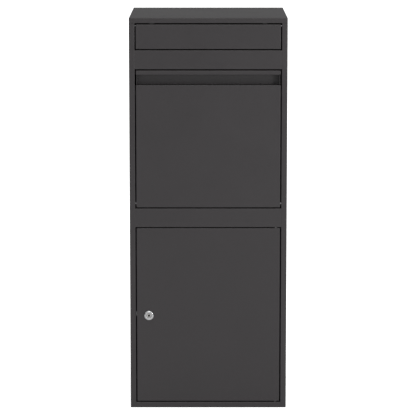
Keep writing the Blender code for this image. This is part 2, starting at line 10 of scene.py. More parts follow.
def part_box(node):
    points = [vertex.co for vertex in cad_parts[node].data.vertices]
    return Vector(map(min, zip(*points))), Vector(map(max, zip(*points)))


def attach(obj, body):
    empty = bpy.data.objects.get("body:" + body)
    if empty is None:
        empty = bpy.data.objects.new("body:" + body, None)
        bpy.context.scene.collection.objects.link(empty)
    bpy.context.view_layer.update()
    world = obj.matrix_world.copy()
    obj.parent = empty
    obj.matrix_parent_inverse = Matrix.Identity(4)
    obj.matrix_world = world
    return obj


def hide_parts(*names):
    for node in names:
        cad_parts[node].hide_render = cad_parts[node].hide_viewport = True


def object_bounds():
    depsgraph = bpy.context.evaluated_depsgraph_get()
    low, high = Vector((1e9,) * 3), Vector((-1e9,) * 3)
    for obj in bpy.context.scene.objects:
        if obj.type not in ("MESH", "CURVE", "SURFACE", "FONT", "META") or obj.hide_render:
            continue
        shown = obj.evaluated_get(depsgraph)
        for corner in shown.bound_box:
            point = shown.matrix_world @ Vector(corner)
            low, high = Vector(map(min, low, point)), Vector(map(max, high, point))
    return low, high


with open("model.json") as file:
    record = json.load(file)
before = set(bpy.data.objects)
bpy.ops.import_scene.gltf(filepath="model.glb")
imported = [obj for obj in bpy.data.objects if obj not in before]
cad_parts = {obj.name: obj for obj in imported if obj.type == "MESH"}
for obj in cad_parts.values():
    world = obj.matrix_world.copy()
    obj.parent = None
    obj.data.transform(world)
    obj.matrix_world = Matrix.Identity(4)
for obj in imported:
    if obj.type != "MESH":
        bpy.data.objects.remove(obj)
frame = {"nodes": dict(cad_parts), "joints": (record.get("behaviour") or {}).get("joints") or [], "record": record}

cad_lo, cad_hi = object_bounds()
NODES = frame["nodes"]

# ------------------------------------------------------------------ sizes, read from the frame
SHEET = 0.0015
BEND = 0.0025
GAP = 0.0003
side_lo, side_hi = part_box("side_panel_left")
cap_lo, cap_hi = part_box("top_cap")
HALF_W = -side_lo.x
FRONT, BACK = side_lo.y, side_hi.y
OPEN_X = -side_hi.x
HEIGHT = cap_hi.z
JOINTS = {j["name"]: j for j in frame["joints"]}
letter_pos = JOINTS["letter_flap_hinge"]["pos_m"]
parcel_pos = JOINTS["parcel_flap_hinge"]["pos_m"]
door_pos = JOINTS["door_hinge"]["pos_m"]
lock_pos = JOINTS["lock_turn"]["pos_m"]

# ------------------------------------------------------------------ camera
scene = bpy.context.scene
CAM_DIST, CAM_Z, CAM_PITCH, CAM_F = 6.0, 1.4546, 0.1572, 2254.4
cam_data = bpy.data.cameras.new("camera")
cam_data.sensor_width = 36.0
cam_data.lens = CAM_F * 36.0 / 416.0
cam_data.clip_start, cam_data.clip_end = 0.05, 200.0
camera = bpy.data.objects.new("camera", cam_data)
camera.location = (-0.0007, -CAM_DIST, CAM_Z)
camera.rotation_euler = (math.pi / 2 - CAM_PITCH, 0, 0)
scene.collection.objects.link(camera)
scene.camera = camera
scene.view_settings.view_transform = "Standard"
scene.view_settings.look = "None"


# ------------------------------------------------------------------ materials
class Graph:
    """A short way to write a node material."""

    def __init__(self, name):
        self.mat = bpy.data.materials.new(name)
        self.mat.use_nodes = True
        self.tree = self.mat.node_tree
        self.bsdf = self.tree.nodes["Principled BSDF"]
        self.coord = self.tree.nodes.new("ShaderNodeTexCoord")

    def node(self, kind, **values):
        n = self.tree.nodes.new(kind)
        for key, value in values.items():
            if key.startswith("in_"):
                n.inputs[key[3:].replace("_", " ")].default_value = value
            else:
                setattr(n, key, value)
        return n

    def link(self, a, b):
        self.tree.links.new(a, b)

    def noise(self, scale, detail=2.0, rough=0.5, stretch=None, offset=(0, 0, 0)):
        mapping = self.node("ShaderNodeMapping")
        mapping.inputs["Scale"].default_value = stretch or (1, 1, 1)
        mapping.inputs["Location"].default_value = offset
        self.link(self.coord.outputs["Object"], mapping.inputs["Vector"])
        n = self.node("ShaderNodeTexNoise")
        n.inputs["Scale"].default_value = scale
        n.inputs["Detail"].default_value = detail
        n.inputs["Roughness"].default_value = rough
        self.link(mapping.outputs["Vector"], n.inputs["Vector"])
        return n

    def remap(self, value, lo, hi, a=0.0, b=1.0):
        n = self.node("ShaderNodeMapRange")
        n.inputs["From Min"].default_value = a
        n.inputs["From Max"].default_value = b
        n.inputs["To Min"].default_value = lo
        n.inputs["To Max"].default_value = hi
        self.link(value, n.inputs["Value"])
        return n.outputs["Result"]

    def mix(self, factor, c0, c1):
        n = self.node("ShaderNodeMix", data_type="RGBA")
        for socket, c in ((n.inputs[6], c0), (n.inputs[7], c1)):
            if isinstance(c, tuple):
                socket.default_value = (*c, 1.0)
            else:
                self.link(c, socket)
        self.link(factor, n.inputs[0])
        return n.outputs[2]

    def bump(self, height, distance, strength, base=None):
        n = self.node("ShaderNodeBump")
        n.inputs["Distance"].default_value = distance
        n.inputs["Strength"].default_value = strength
        self.link(height, n.inputs["Height"])
        if base is not None:
            self.link(base, n.inputs["Normal"])
        return n.outputs["Normal"]


def powder(name, colour, rough=0.37, grain=1.0):
    """Anthracite powder coat: fine leather-like grain, soft clouding, small gloss changes."""
    g = Graph(name)
    cloud = g.noise(9.0, 3.0, 0.55)
    mottle = g.noise(190.0, 2.0, 0.6, offset=(3.1, 1.7, 0.4))
    speck = g.noise(1500.0, 1.0, 0.5)
    grainy = g.noise(850.0, 2.0, 0.6)
    peel = g.noise(210.0, 1.0, 0.5)
    dark = tuple(c * 0.92 for c in colour)
    light = tuple(c * 1.08 for c in colour)
    both = g.node("ShaderNodeMath", operation="ADD")
    g.link(g.remap(cloud.outputs["Fac"], 0.0, 0.45, 0.3, 0.7), both.inputs[0])
    g.link(g.remap(mottle.outputs["Fac"], 0.0, 0.55, 0.3, 0.7), both.inputs[1])
    a = g.mix(both.outputs[0], dark, light)
    fleck = tuple(min(1.0, c * 1.35 + 0.004) for c in colour)
    b = g.mix(g.remap(speck.outputs["Fac"], 0.0, 0.55, 0.56, 0.80), a, fleck)
    g.link(b, g.bsdf.inputs["Base Color"])
    r = g.node("ShaderNodeMath", operation="ADD")
    g.link(g.remap(both.outputs[0], rough - 0.045, rough + 0.045, 0.1, 0.9), r.inputs[0])
    g.link(g.remap(grainy.outputs["Fac"], -0.05, 0.05, 0.3, 0.7), r.inputs[1])
    g.link(r.outputs[0], g.bsdf.inputs["Roughness"])
    n1 = g.bump(peel.outputs["Fac"], 0.00006, 0.22 * grain)
    n2 = g.bump(grainy.outputs["Fac"], 0.00005, 0.55 * grain, n1)
    g.link(n2, g.bsdf.inputs["Normal"])
    g.bsdf.inputs["Specular IOR Level"].default_value = 0.26
    return g.mat


def metal(name, colour, rough, streak=None, spangle=0.0, bump=0.12):
    """Metal with brushing along one direction, or the patchy spangle of zinc plating."""
    g = Graph(name)
    base = g.noise(60.0, 3.0, 0.6)
    fine = g.noise(900.0, 2.0, 0.6, stretch=streak)
    dark = tuple(c * (0.86 - spangle) for c in colour)
    light = tuple(min(1.0, c * (1.06 + spangle * 0.5)) for c in colour)
    g.link(g.mix(g.remap(base.outputs["Fac"], 0.0, 1.0, 0.32, 0.68), dark, light), g.bsdf.inputs["Base Color"])
    r = g.node("ShaderNodeMath", operation="ADD")
    g.link(g.remap(base.outputs["Fac"], rough - 0.04, rough + 0.06, 0.3, 0.7), r.inputs[0])
    g.link(g.remap(fine.outputs["Fac"], -0.04, 0.04, 0.3, 0.7), r.inputs[1])
    g.link(r.outputs[0], g.bsdf.inputs["Roughness"])
    g.link(g.bump(fine.outputs["Fac"], 0.00003, bump), g.bsdf.inputs["Normal"])
    g.bsdf.inputs["Metallic"].default_value = 1.0
    return g.mat


def plastic(name, colour, rough, scale=700.0, bump=0.25, spread=0.08):
    g = Graph(name)
    grain = g.noise(scale, 2.0, 0.55)
    cloud = g.noise(40.0, 2.0, 0.5)
    dark = tuple(c * (1 - spread) for c in colour)
    light = tuple(min(1.0, c * (1 + spread)) for c in colour)
    g.link(g.mix(g.remap(cloud.outputs["Fac"], 0.0, 1.0, 0.3, 0.7), dark, light), g.bsdf.inputs["Base Color"])
    g.link(g.remap(grain.outputs["Fac"], rough - 0.06, rough + 0.06, 0.3, 0.7), g.bsdf.inputs["Roughness"])
    g.link(g.bump(grain.outputs["Fac"], 0.00004, bump), g.bsdf.inputs["Normal"])
    return g.mat


PAINT_RGB = (0.0112, 0.0097, 0.0105)
PAINT = powder("powder_coat", PAINT_RGB)
PAINT_IN = powder("powder_coat_inside", tuple(c * 1.1 for c in PAINT_RGB), rough=0.45)
ZINC = metal("zinc_plated", (0.30, 0.30, 0.305), 0.36, spangle=0.06)
STEEL = metal("burnished_steel", (0.13, 0.13, 0.132), 0.38, streak=(1, 1, 6), spangle=0.04)
CHROME = metal("lock_nickel", (0.262, 0.262, 0.266), 0.21, bump=0.06)
PLUG = metal("plug_nickel", (0.265, 0.262, 0.257), 0.27, streak=(1, 1, 12), bump=0.10)
# Near-black metal for the faces deep inside the key slot: painted shade, standing in for the shadow inside the keyway.
KEYWAY_SHADE = metal("keyway_wards", (0.035, 0.033, 0.030), 0.55, bump=0.2)
NYLON = plastic("grey_nylon", (0.10, 0.10, 0.10), 0.48)
RUBBER = plastic("black_rubber", (0.018, 0.018, 0.018), 0.72, scale=420.0, bump=0.5, spread=0.2)

FINISH = {"powder_coat": PAINT, "zinc": ZINC, "chrome": CHROME, "plug_metal": PLUG, "nylon": NYLON, "rubber": RUBBER}
NODE_SLOT = {s["node"]: s["material_slot"] for s in frame["record"]["subparts"]}
NODE_BODY = {n: b for b, ns in frame["record"]["behaviour"]["bodies"].items() for n in ns}
for name, ob in NODES.items():
    ob.data.materials.clear()
    ob.data.materials.append(FINISH[NODE_SLOT[name]])


# ------------------------------------------------------------------ mesh tools
def piece(name, bm, node, mat, extra=(), sharp=32.0, weighted=True):
    """Finish a mesh as the piece that stands for a CAD node."""
    bmesh.ops.remove_doubles(bm, verts=bm.verts, dist=1e-7)
    bmesh.ops.recalc_face_normals(bm, faces=bm.faces)
    mesh = bpy.data.meshes.new(name)
    bm.to_mesh(mesh)
    bm.free()
    ob = bpy.data.objects.new(name, mesh)
    scene.collection.objects.link(ob)
    mesh.materials.append(mat)
    for m in extra:
        mesh.materials.append(m)
    mesh.shade_smooth()
    mesh.set_sharp_from_angle(angle=math.radians(sharp))
    if weighted:
        mod = ob.modifiers.new("flat_faces", "WEIGHTED_NORMAL")
        mod.keep_sharp = True
        mod.weight = 90
    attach(ob, NODE_BODY[node])
    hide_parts(node)
    return ob


def cutter(bm):
    bmesh.ops.recalc_face_normals(bm, faces=bm.faces)
    mesh = bpy.data.meshes.new("cut")
    bm.to_mesh(mesh)
    bm.free()
    ob = bpy.data.objects.new("cut", mesh)
    scene.collection.objects.link(ob)
    return ob


def carve(bm, cutters, operation="DIFFERENCE"):
    """Cut closed meshes out of a bmesh and give back a new bmesh."""
    bmesh.ops.recalc_face_normals(bm, faces=bm.faces)
    mesh = bpy.data.meshes.new("work")
    bm.to_mesh(mesh)
    bm.free()
    ob = bpy.data.objects.new("work", mesh)
    scene.collection.objects.link(ob)
    made = []
    for c in cutters:
        other = cutter(c)
        made.append(other)
        mod = ob.modifiers.new("b", "BOOLEAN")
        mod.operation, mod.solver, mod.object = operation, "EXACT", other
    dg = bpy.context.evaluated_depsgraph_get()
    dg.update()
    out = bmesh.new()
    out.from_mesh(ob.evaluated_get(dg).to_mesh())
    for o in (ob, *made):
        data = o.data
        bpy.data.objects.remove(o, do_unlink=True)
        bpy.data.meshes.remove(data)
    return out


def join(*parts):
    """One bmesh from several."""
    out = bmesh.new()
    for bm in parts:
        mesh = bpy.data.meshes.new("part")
        bm.to_mesh(mesh)
        bm.free()
        out.from_mesh(mesh)
        bpy.data.meshes.remove(mesh)
    return out


def place(axis, u, v, w):
    return {"X": (w, u, v), "Y": (u, w, v), "Z": (u, v, w)}[axis]


def folded(points, side, bend=BEND, sheet=SHEET, steps=8):
    """Closed outline of a sheet that follows points, with true folds of constant thickness."""
    near, far = [], []

    def unit(p, q):
        return (Vector(q) - Vector(p)).normalized()

    def normal(d):
        return Vector((-d.y, d.x)) * side

    first = unit(points[0], points[1])
    near.append(Vector(points[0]))
    far.append(Vector(points[0]) + normal(first) * sheet)
    for i in range(1, len(points) - 1):
        v = Vector(points[i])
        d0, d1 = unit(points[i - 1], points[i]), unit(points[i], points[i + 1])
        n0, n1 = normal(d0), normal(d1)
        toward = (d0.x * d1.y - d0.y * d1.x) * side > 0
        r_near = bend if toward else bend - sheet
        r_far = bend - sheet if toward else bend
        sign = 1.0 if toward else -1.0
        half = math.acos(max(-1.0, min(1.0, d0.dot(d1)))) / 2
        centre = v - d0 * (r_near * math.tan(half)) + n0 * (sign * r_near)
        a0, a1 = -n0 * sign, -n1 * sign
        ang0, ang1 = math.atan2(a0.y, a0.x), math.atan2(a1.y, a1.x)
        delta = (ang1 - ang0 + math.pi) % (2 * math.pi) - math.pi
        for k in range(steps + 1):
            a = ang0 + delta * k / steps
            u = Vector((math.cos(a), math.sin(a)))
            near.append(centre + u * r_near)
            far.append(centre + u * r_far)
    last = unit(points[-2], points[-1])
    near.append(Vector(points[-1]))
    far.append(Vector(points[-1]) + normal(last) * sheet)
    return [(p.x, p.y) for p in near], [(p.x, p.y) for p in far]


def strip(points, side, axis, a, b, bend=BEND, sheet=SHEET, edge=0.00025, steps=8, stations=2):
    """A folded sheet run along an axis as quads, with its cut edges broken (deburred)."""
    near, far = folded(points, side, bend, sheet, steps)
    n = len(near)
    loop = near + far[::-1]
    bm = bmesh.new()
    cuts = [a + (b - a) * i / (stations - 1) for i in range(stations)]
    rows = [[bm.verts.new(place(axis, u, v, w)) for u, v in loop] for w in cuts]
    m = len(loop)
    for r0, r1 in zip(rows, rows[1:]):
        for i in range(m):
            j = (i + 1) % m
            bm.faces.new((r0[i], r0[j], r1[j], r1[i]))
    for row, flip in ((rows[0], False), (rows[-1], True)):
        for i in range(n - 1):
            quad = (row[i], row[i + 1], row[m - 2 - i], row[m - 1 - i])
            bm.faces.new(quad[::-1] if flip else quad)
    bmesh.ops.recalc_face_normals(bm, faces=bm.faces)
    if edge:
        ends = set()
        for row in (rows[0], rows[-1]):
            ids = set(row)
            for v in row:
                for e in v.link_edges:
                    if e.verts[0] in ids and e.verts[1] in ids:
                        i, j = row.index(e.verts[0]), row.index(e.verts[1])
                        if abs(i - j) in (1, m - 1):
                            ends.add(e)
        tips = [e for e in bm.edges if not e.is_boundary and len(e.link_faces) == 2
                and e.calc_face_angle(0) > 1.2 and e not in ends]
        bmesh.ops.bevel(bm, geom=list(ends) + tips, offset=edge, segments=2, profile=0.5,
                        affect="EDGES", clamp_overlap=True)
    return bm


def plate(loop, axis, a, b, edge=0.00025, holes=()):
    """A flat blank of sheet, its outline given in the other two axes, edges broken."""
    bm = bmesh.new()
    face = bm.faces.new([bm.verts.new(place(axis, u, v, a)) for u, v in loop])
    grown = bmesh.ops.extrude_face_region(bm, geom=[face])
    moved = [g for g in grown["geom"] if isinstance(g, bmesh.types.BMVert)]
    step = {"X": (b - a, 0, 0), "Y": (0, b - a, 0), "Z": (0, 0, b - a)}[axis]
    bmesh.ops.translate(bm, verts=moved, vec=Vector(step))
    bmesh.ops.recalc_face_normals(bm, faces=bm.faces)
    if edge:
        k = {"X": 0, "Y": 1, "Z": 2}[axis]
        rim = [e for e in bm.edges if abs(e.verts[0].co[k] - e.verts[1].co[k]) < 1e-9]
        bmesh.ops.bevel(bm, geom=rim, offset=edge, segments=2, profile=0.5, affect="EDGES", clamp_overlap=True)
    if holes:
        bm = carve(bm, list(holes))
    return bm


def brick(lo, hi, edge=0.0, segments=3):
    bm = plate([(lo[0], lo[1]), (hi[0], lo[1]), (hi[0], hi[1]), (lo[0], hi[1])], "Z", lo[2], hi[2], edge=0)
    if edge:
        bmesh.ops.bevel(bm, geom=bm.edges[:], offset=edge, segments=segments, profile=0.5,
                        affect="EDGES", clamp_overlap=True)
    return bm


def turned(profile, centre, axis, sides=64):
    """Lathe a closed (radius, along) outline; points on the axis close the ends."""
    k = {"X": 0, "Y": 1, "Z": 2}[axis]
    u = Vector({"X": (0, 1, 0), "Y": (1, 0, 0), "Z": (1, 0, 0)}[axis])
    w = Vector({"X": (1, 0, 0), "Y": (0, 1, 0), "Z": (0, 0, 1)}[axis])
    v = w.cross(u)
    base = Vector(centre)
    base[k] = 0.0
    bm = bmesh.new()
    rings = []
    for r, h in profile:
        if r < 1e-9:
            rings.append([bm.verts.new(base + w * h)])
        else:
            rings.append([bm.verts.new(base + w * h + (u * math.cos(t) + v * math.sin(t)) * r)
                          for t in (2 * math.pi * i / sides for i in range(sides))])
    closed = profile[0][0] > 1e-9
    pairs = list(zip(rings, rings[1:])) + ([(rings[-1], rings[0])] if closed else [])
    for r0, r1 in pairs:
        for i in range(sides):
            j = (i + 1) % sides
            quad = [r0[i % len(r0)], r0[j % len(r0)], r1[j % len(r1)], r1[i % len(r1)]]
            seen = []
            for q in quad:
                if q not in seen:
                    seen.append(q)
            if len(seen) >= 3:
                bm.faces.new(seen)
    bmesh.ops.recalc_face_normals(bm, faces=bm.faces)
    return bm


def rod(r, a, b, centre, axis, sides=48, chamfer=0.0):
    s = 1 if b > a else -1
    c = chamfer
    if c:
        prof = [(0, a), (r - c, a), (r, a + s * c), (r, b - s * c), (r - c, b), (0, b)]
    else:
        prof = [(0, a), (r, a), (r, b), (0, b)]
    return turned(prof, centre, axis, sides)


def round_rect(x0, x1, z0, z1, r, steps):
    """Rounded rectangle, the same number of points whatever its radius."""
    out = []
    for cx, cz, start in ((x1 - r, z1 - r, 0.0), (x0 + r, z1 - r, 90.0), (x0 + r, z0 + r, 180.0), (x1 - r, z0 + r, 270.0)):
        for k in range(steps + 1):
            t = math.radians(start + 90.0 * k / steps)
            out.append((cx + r * math.cos(t), cz + r * math.sin(t)))
    return out


def pan(x0, x1, z0, z1, front, depth, bend=BEND, corner=None, sheet=SHEET, steps=6, side_depth=None, lip=0.0,
        axis="Y", direction=1, edge=0.0002):
    """A pan folded from one sheet: face, rounded folds on four sides, walls and a broken rim.

    side_depth(x, z) may give each wall its own depth; lip folds the rim inwards.
    """
    corner = corner or bend
    bm = bmesh.new()
    rings = []

    def ring(inset, h, r_corner, own=False, extra=0.0):
        pts = round_rect(x0 + inset, x1 - inset, z0 + inset, z1 - inset, max(r_corner, 0.00005), steps)
        verts = []
        for u, v in pts:
            d = h
            if own:
                d = (side_depth(u, v) if side_depth else depth) + extra
            verts.append(bm.verts.new(place(axis, u, v, front + direction * d)))
        rings.append(verts)

    for k in range(steps + 1):
        a = math.pi / 2 * k / steps
        inset = bend * (1 - math.sin(a))
        ring(inset, bend * (1 - math.cos(a)), corner - inset)
    if lip:
        for k in range(1, steps + 1):
            a = math.pi / 2 * k / steps
            inset = bend * (1 - math.cos(a))
            ring(inset, depth - bend + bend * math.sin(a), corner - inset)
            if k == 1:
                rings_mid = rings[-1]
        ring(lip - edge, depth, 0.0002)
        ring(lip, depth - edge, 0.0002)
        ring(lip, depth - sheet + edge, 0.0002)
        ring(lip - edge, depth - sheet, 0.0002)
        for k in range(steps + 1):
            a = math.pi / 2 * (1 - k / steps)
            r = bend - sheet
            inset = sheet + r * (1 - math.cos(a))
            ring(inset, depth - bend + r * math.sin(a), corner - inset)
    else:
        ring(0.0, depth, corner, True, -edge)
        ring(edge, depth, corner - edge, True, 0.0)
        ring(sheet - edge, depth, corner - sheet + edge, True, 0.0)
        ring(sheet, depth, corner - sheet, True, -edge)
    r = bend - sheet
    for k in range(steps + 1):
        a = math.pi / 2 * (1 - k / steps)
        inset = sheet + r * (1 - math.sin(a))
        ring(inset, bend - r * math.cos(a), corner - inset)
    m = len(rings[0])
    for r0, r1 in zip(rings, rings[1:]):
        for i in range(m):
            j = (i + 1) % m
            bm.faces.new((r0[i], r0[j], r1[j], r1[i]))
    bm.faces.new(rings[0][::-1])
    bm.faces.new(rings[-1])
    bmesh.ops.recalc_face_normals(bm, faces=bm.faces)
    return bm


# ------------------------------------------------------------------ cabinet sheets
FOLD = 0.0017
for s, word in ((-1, "left"), (1, "right")):
    lo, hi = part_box("side_panel_" + word)
    bm = strip([(s * OPEN_X, FRONT + 0.0165), (s * OPEN_X, FRONT), (s * HALF_W, FRONT), (s * HALF_W, BACK)],
               s, "Z", lo.z, hi.z, bend=FOLD)
    bm = carve(bm, [rod(0.0036, s * (OPEN_X - 0.001), s * (OPEN_X + 0.0025), (0, letter_pos[1], letter_pos[2]), "X", 32),
                    rod(0.0042, s * (OPEN_X - 0.001), s * (OPEN_X + 0.0025), (0, parcel_pos[1], parcel_pos[2]), "X", 32)])
    piece("side_sheet_" + word, bm, "side_panel_" + word, PAINT)

piece("cap_sheet", pan(-HALF_W, HALF_W, FRONT, BACK, HEIGHT, HEIGHT - cap_lo.z, axis="Z", direction=-1, bend=0.0022,
                       corner=0.0026), "top_cap", PAINT)

lo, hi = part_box("back_panel")
wall_x, wall_z = 0.140, (0.180, 0.930)
piece("back_sheet", carve(strip([(lo.x, lo.y), (lo.x, BACK), (hi.x, BACK), (hi.x, lo.y)], -1, "Z", lo.z, hi.z, bend=0.002),
                          [rod(0.0050, BACK - 0.004, BACK + 0.002, (sx * wall_x, 0, z), "Y", 32)
                           for sx in (-1, 1) for z in wall_z]), "back_panel", PAINT)


def seam_weld(s, rail_end, z0, z1):
    """Weld ground flush between a rail's end and the round of the stile's fold."""
    cx, cy, r = OPEN_X + FOLD, FRONT + FOLD, FOLD + 0.00008
    face = FRONT + 0.00008
    start = math.asin((cy - face) / r)
    loop = [(s * (rail_end - 0.0010), face)]
    for k in range(9):
        t = start * (1 - k / 8)
        loop.append((s * (cx - r * math.cos(t)), cy - r * math.sin(t)))
    loop.append((s * (rail_end - 0.0010), FRONT + 0.0014))
    return plate(loop, "Z", z0, z1, edge=0)


for name in ("upper_rail", "middle_rail"):
    lo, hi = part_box(name)
    bm = strip([(hi.y, lo.z), (lo.y, lo.z), (lo.y, hi.z), (hi.y, hi.z)], -1, "X", lo.x, hi.x, bend=FOLD, edge=0.00015)
    if name == "middle_rail":
        bm = carve(bm, [rod(0.0033, lo.z - 0.001, lo.z + 0.003, (door_pos[0], door_pos[1], 0), "Z", 32)])
    piece(name + "_sheet", join(bm, *(seam_weld(s, hi.x, lo.z + 0.0009, hi.z - 0.0009) for s in (-1, 1))), name, PAINT)
lo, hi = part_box("bottom_rail")
bm = strip([(lo.y, lo.z), (lo.y, hi.z), (hi.y, hi.z)], -1, "X", lo.x, hi.x, bend=FOLD, edge=0.00015)
bm = carve(bm, [rod(0.0033, hi.z - 0.003, hi.z + 0.001, (door_pos[0], door_pos[1], 0), "Z", 32)])
piece("bottom_rail_sheet", join(bm, *(seam_weld(s, hi.x, lo.z + 0.0003, hi.z - 0.0009) for s in (-1, 1))),
      "bottom_rail", PAINT)

# inner sheets: the letter chute and the baffle on the back wall
lo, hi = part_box("letter_chute")
chute_y = lo.y
piece("chute_sheet", strip([(chute_y, lo.z + 0.029), (chute_y, 0.944), (-0.060, 0.903), (-0.060, 0.886)], -1,
                           "X", lo.x, hi.x), "letter_chute", PAINT_IN)
lo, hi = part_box("fishing_guard")
piece("guard_sheet", strip([(hi.y, 0.745), (hi.y, 0.715), (0.032, 0.642), (0.032, 0.657)], -1, "X", lo.x, hi.x),
      "fishing_guard", PAINT_IN)

lo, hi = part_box("base_pan")
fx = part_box("bottom_rail")[1].x
notch_y = FRONT + 0.0168
rear_y, rear_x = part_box("back_panel")[0].y - GAP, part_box("back_panel")[1].x - SHEET - GAP
outline = [(-fx, lo.y), (fx, lo.y), (fx, notch_y), (hi.x, notch_y), (hi.x, rear_y), (rear_x, rear_y), (rear_x, hi.y),
           (-rear_x, hi.y), (-rear_x, rear_y), (lo.x, rear_y), (lo.x, notch_y), (-fx, notch_y)]
bm = carve(plate(outline, "Z", lo.z, hi.z, edge=0),
           [brick((lo.x + SHEET, lo.y - 0.01, SHEET), (hi.x - SHEET, hi.y - SHEET, hi.z + 0.01))]
           + [rod(0.0050, -0.002, 0.004, (sx * 0.140, sy * 0.115, 0), "Z", 32) for sx in (-1, 1) for sy in (-1, 1)])
corners = [e for e in bm.edges if len(e.link_faces) == 2 and e.calc_face_angle(0) > 1.2 and e.calc_length() > 0.004]
bmesh.ops.bevel(bm, geom=corners, offset=0.0003, segments=2, profile=0.5, affect="EDGES", clamp_overlap=True)
piece("base_sheet", bm, "base_pan", PAINT_IN)

lo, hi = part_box("strike_plate")
piece("strike_bracket", strip([(lo.x, hi.y), (lo.x, lo.y), (hi.x, lo.y)], 1, "Z", lo.z, hi.z, bend=0.002, edge=0.0003),
      "strike_plate", ZINC)

# ------------------------------------------------------------------ letter flap
lo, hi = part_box("letter_flap")
bm = pan(lo.x, hi.x, lo.z, hi.z, lo.y, hi.y - lo.y, bend=0.0018)
bm = carve(bm, [rod(0.0025, s * (hi.x - 0.003), s * (hi.x + 0.002), (0, letter_pos[1], letter_pos[2]), "X", 32)
                for s in (-1, 1)])
piece("letter_leaf", bm, "letter_flap", PAINT)

# ------------------------------------------------------------------ parcel flap with its grip groove
lo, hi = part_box("parcel_flap")
GRIP_LO, GRIP_HI, GRIP_Y = 0.8558, 0.8822, FRONT + 0.030
deep = GRIP_Y - FRONT + SHEET


def lower_depth(x, z):
    return deep if z > GRIP_LO - 0.0012 else 0.018


def upper_depth(x, z):
    return deep if z < GRIP_HI + 0.0012 else 0.0165


lower = pan(lo.x, hi.x, lo.z, GRIP_LO, FRONT, 0.018, bend=0.0018, side_depth=lower_depth)
upper = pan(lo.x, hi.x, GRIP_HI, hi.z, FRONT, 0.0165, bend=0.0018, side_depth=upper_depth)
groove = strip([(GRIP_Y - 0.007, GRIP_HI - 0.00005), (GRIP_Y, GRIP_HI - 0.00005), (GRIP_Y, GRIP_LO + 0.00005),
                (GRIP_Y - 0.007, GRIP_LO + 0.00005)], 1, "X", lo.x + 0.0022, hi.x - 0.0022, bend=0.0022)
pins = [rod(0.0033, s * (hi.x - 0.003), s * (hi.x + 0.002), (0, parcel_pos[1], parcel_pos[2]), "X", 32) for s in (-1, 1)]
piece("parcel_leaf", join(carve(lower, pins), upper, groove), "parcel_flap", PAINT)

for s, word in ((-1, "left"), (1, "right")):
    lo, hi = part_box("grip_end_" + word)
    loop = round_rect(lo.y, hi.y, lo.z, hi.z, 0.0016, 4)
    piece("grip_cheek_" + word, plate(loop, "X", lo.x, hi.x, edge=0.0003), "grip_end_" + word, PAINT)

# ------------------------------------------------------------------ door
lo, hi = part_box("door")
bm = pan(lo.x, hi.x, lo.z, hi.z, lo.y, hi.y - lo.y, bend=0.0019, lip=0.009)
bm = carve(bm, [rod(0.0098, FRONT - 0.002, FRONT + 0.004, (lock_pos[0], 0, lock_pos[2]), "Y", 48),
                rod(0.0045, hi.z - 0.003, hi.z + 0.003, (door_pos[0], door_pos[1], 0), "Z", 32),
                rod(0.0045, lo.z - 0.003, lo.z + 0.003, (door_pos[0], door_pos[1], 0), "Z", 32)])
piece("door_leaf", bm, "door", PAINT)
lo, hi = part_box("door_stiffener")
piece("door_rib", strip([(lo.x, lo.y), (-0.026, lo.y), (-0.020, hi.y - SHEET), (0.020, hi.y - SHEET), (0.026, lo.y),
                         (hi.x, lo.y)], 1, "Z", lo.z, hi.z), "door_stiffener", PAINT_IN)

# ------------------------------------------------------------------ hopper sheets behind the parcel flap
lo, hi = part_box("hopper_tray")
drop = math.radians(22.0)
length = (0.004 - lo.y) / math.cos(drop)
tail = (0.004, 0.5565 - length * math.sin(drop))
piece("tray_sheet", strip([(lo.y, 0.5845), (lo.y, 0.5565), tail, (tail[0] - 0.0005, tail[1] - 0.011)], 1, "X",
                          lo.x, hi.x, bend=0.0022), "hopper_tray", PAINT_IN)
py, pz = parcel_pos[1], parcel_pos[2]
plo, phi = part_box("parcel_flap")
cheek_front, behind_grip = lo.y, phi.y + GAP
reach = 0.343
a0 = math.atan2(behind_grip - py, math.sqrt(reach ** 2 - (behind_grip - py) ** 2))
arc = [(py + reach * math.sin(t), pz + reach * math.cos(t))
       for t in (a0 + (math.radians(42.0) - a0) * k / 60 for k in range(61))]
outline = [(cheek_front, plo.z + 0.0040), (cheek_front, GRIP_LO - 0.0040), (cheek_front + 0.002, GRIP_LO - 0.0018),
           (behind_grip, GRIP_LO - 0.0018)] + arc + \
          [(tail[0] + 0.001, tail[1] - 0.012), (tail[0] - 0.010, tail[1] - 0.012),
           (FRONT + 0.021, plo.z + 0.0018), (cheek_front + 0.002, plo.z + 0.0018)]
for s, word in ((-1, "left"), (1, "right")):
    lo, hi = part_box("hopper_cheek_" + word)
    bm = plate(outline, "X", lo.x, hi.x, edge=0.0003,
               holes=[rod(0.0033, lo.x - 0.002, hi.x + 0.002, (0, py, pz), "X", 32)])
    piece("cheek_sheet_" + word, bm, "hopper_cheek_" + word, PAINT_IN, sharp=25)

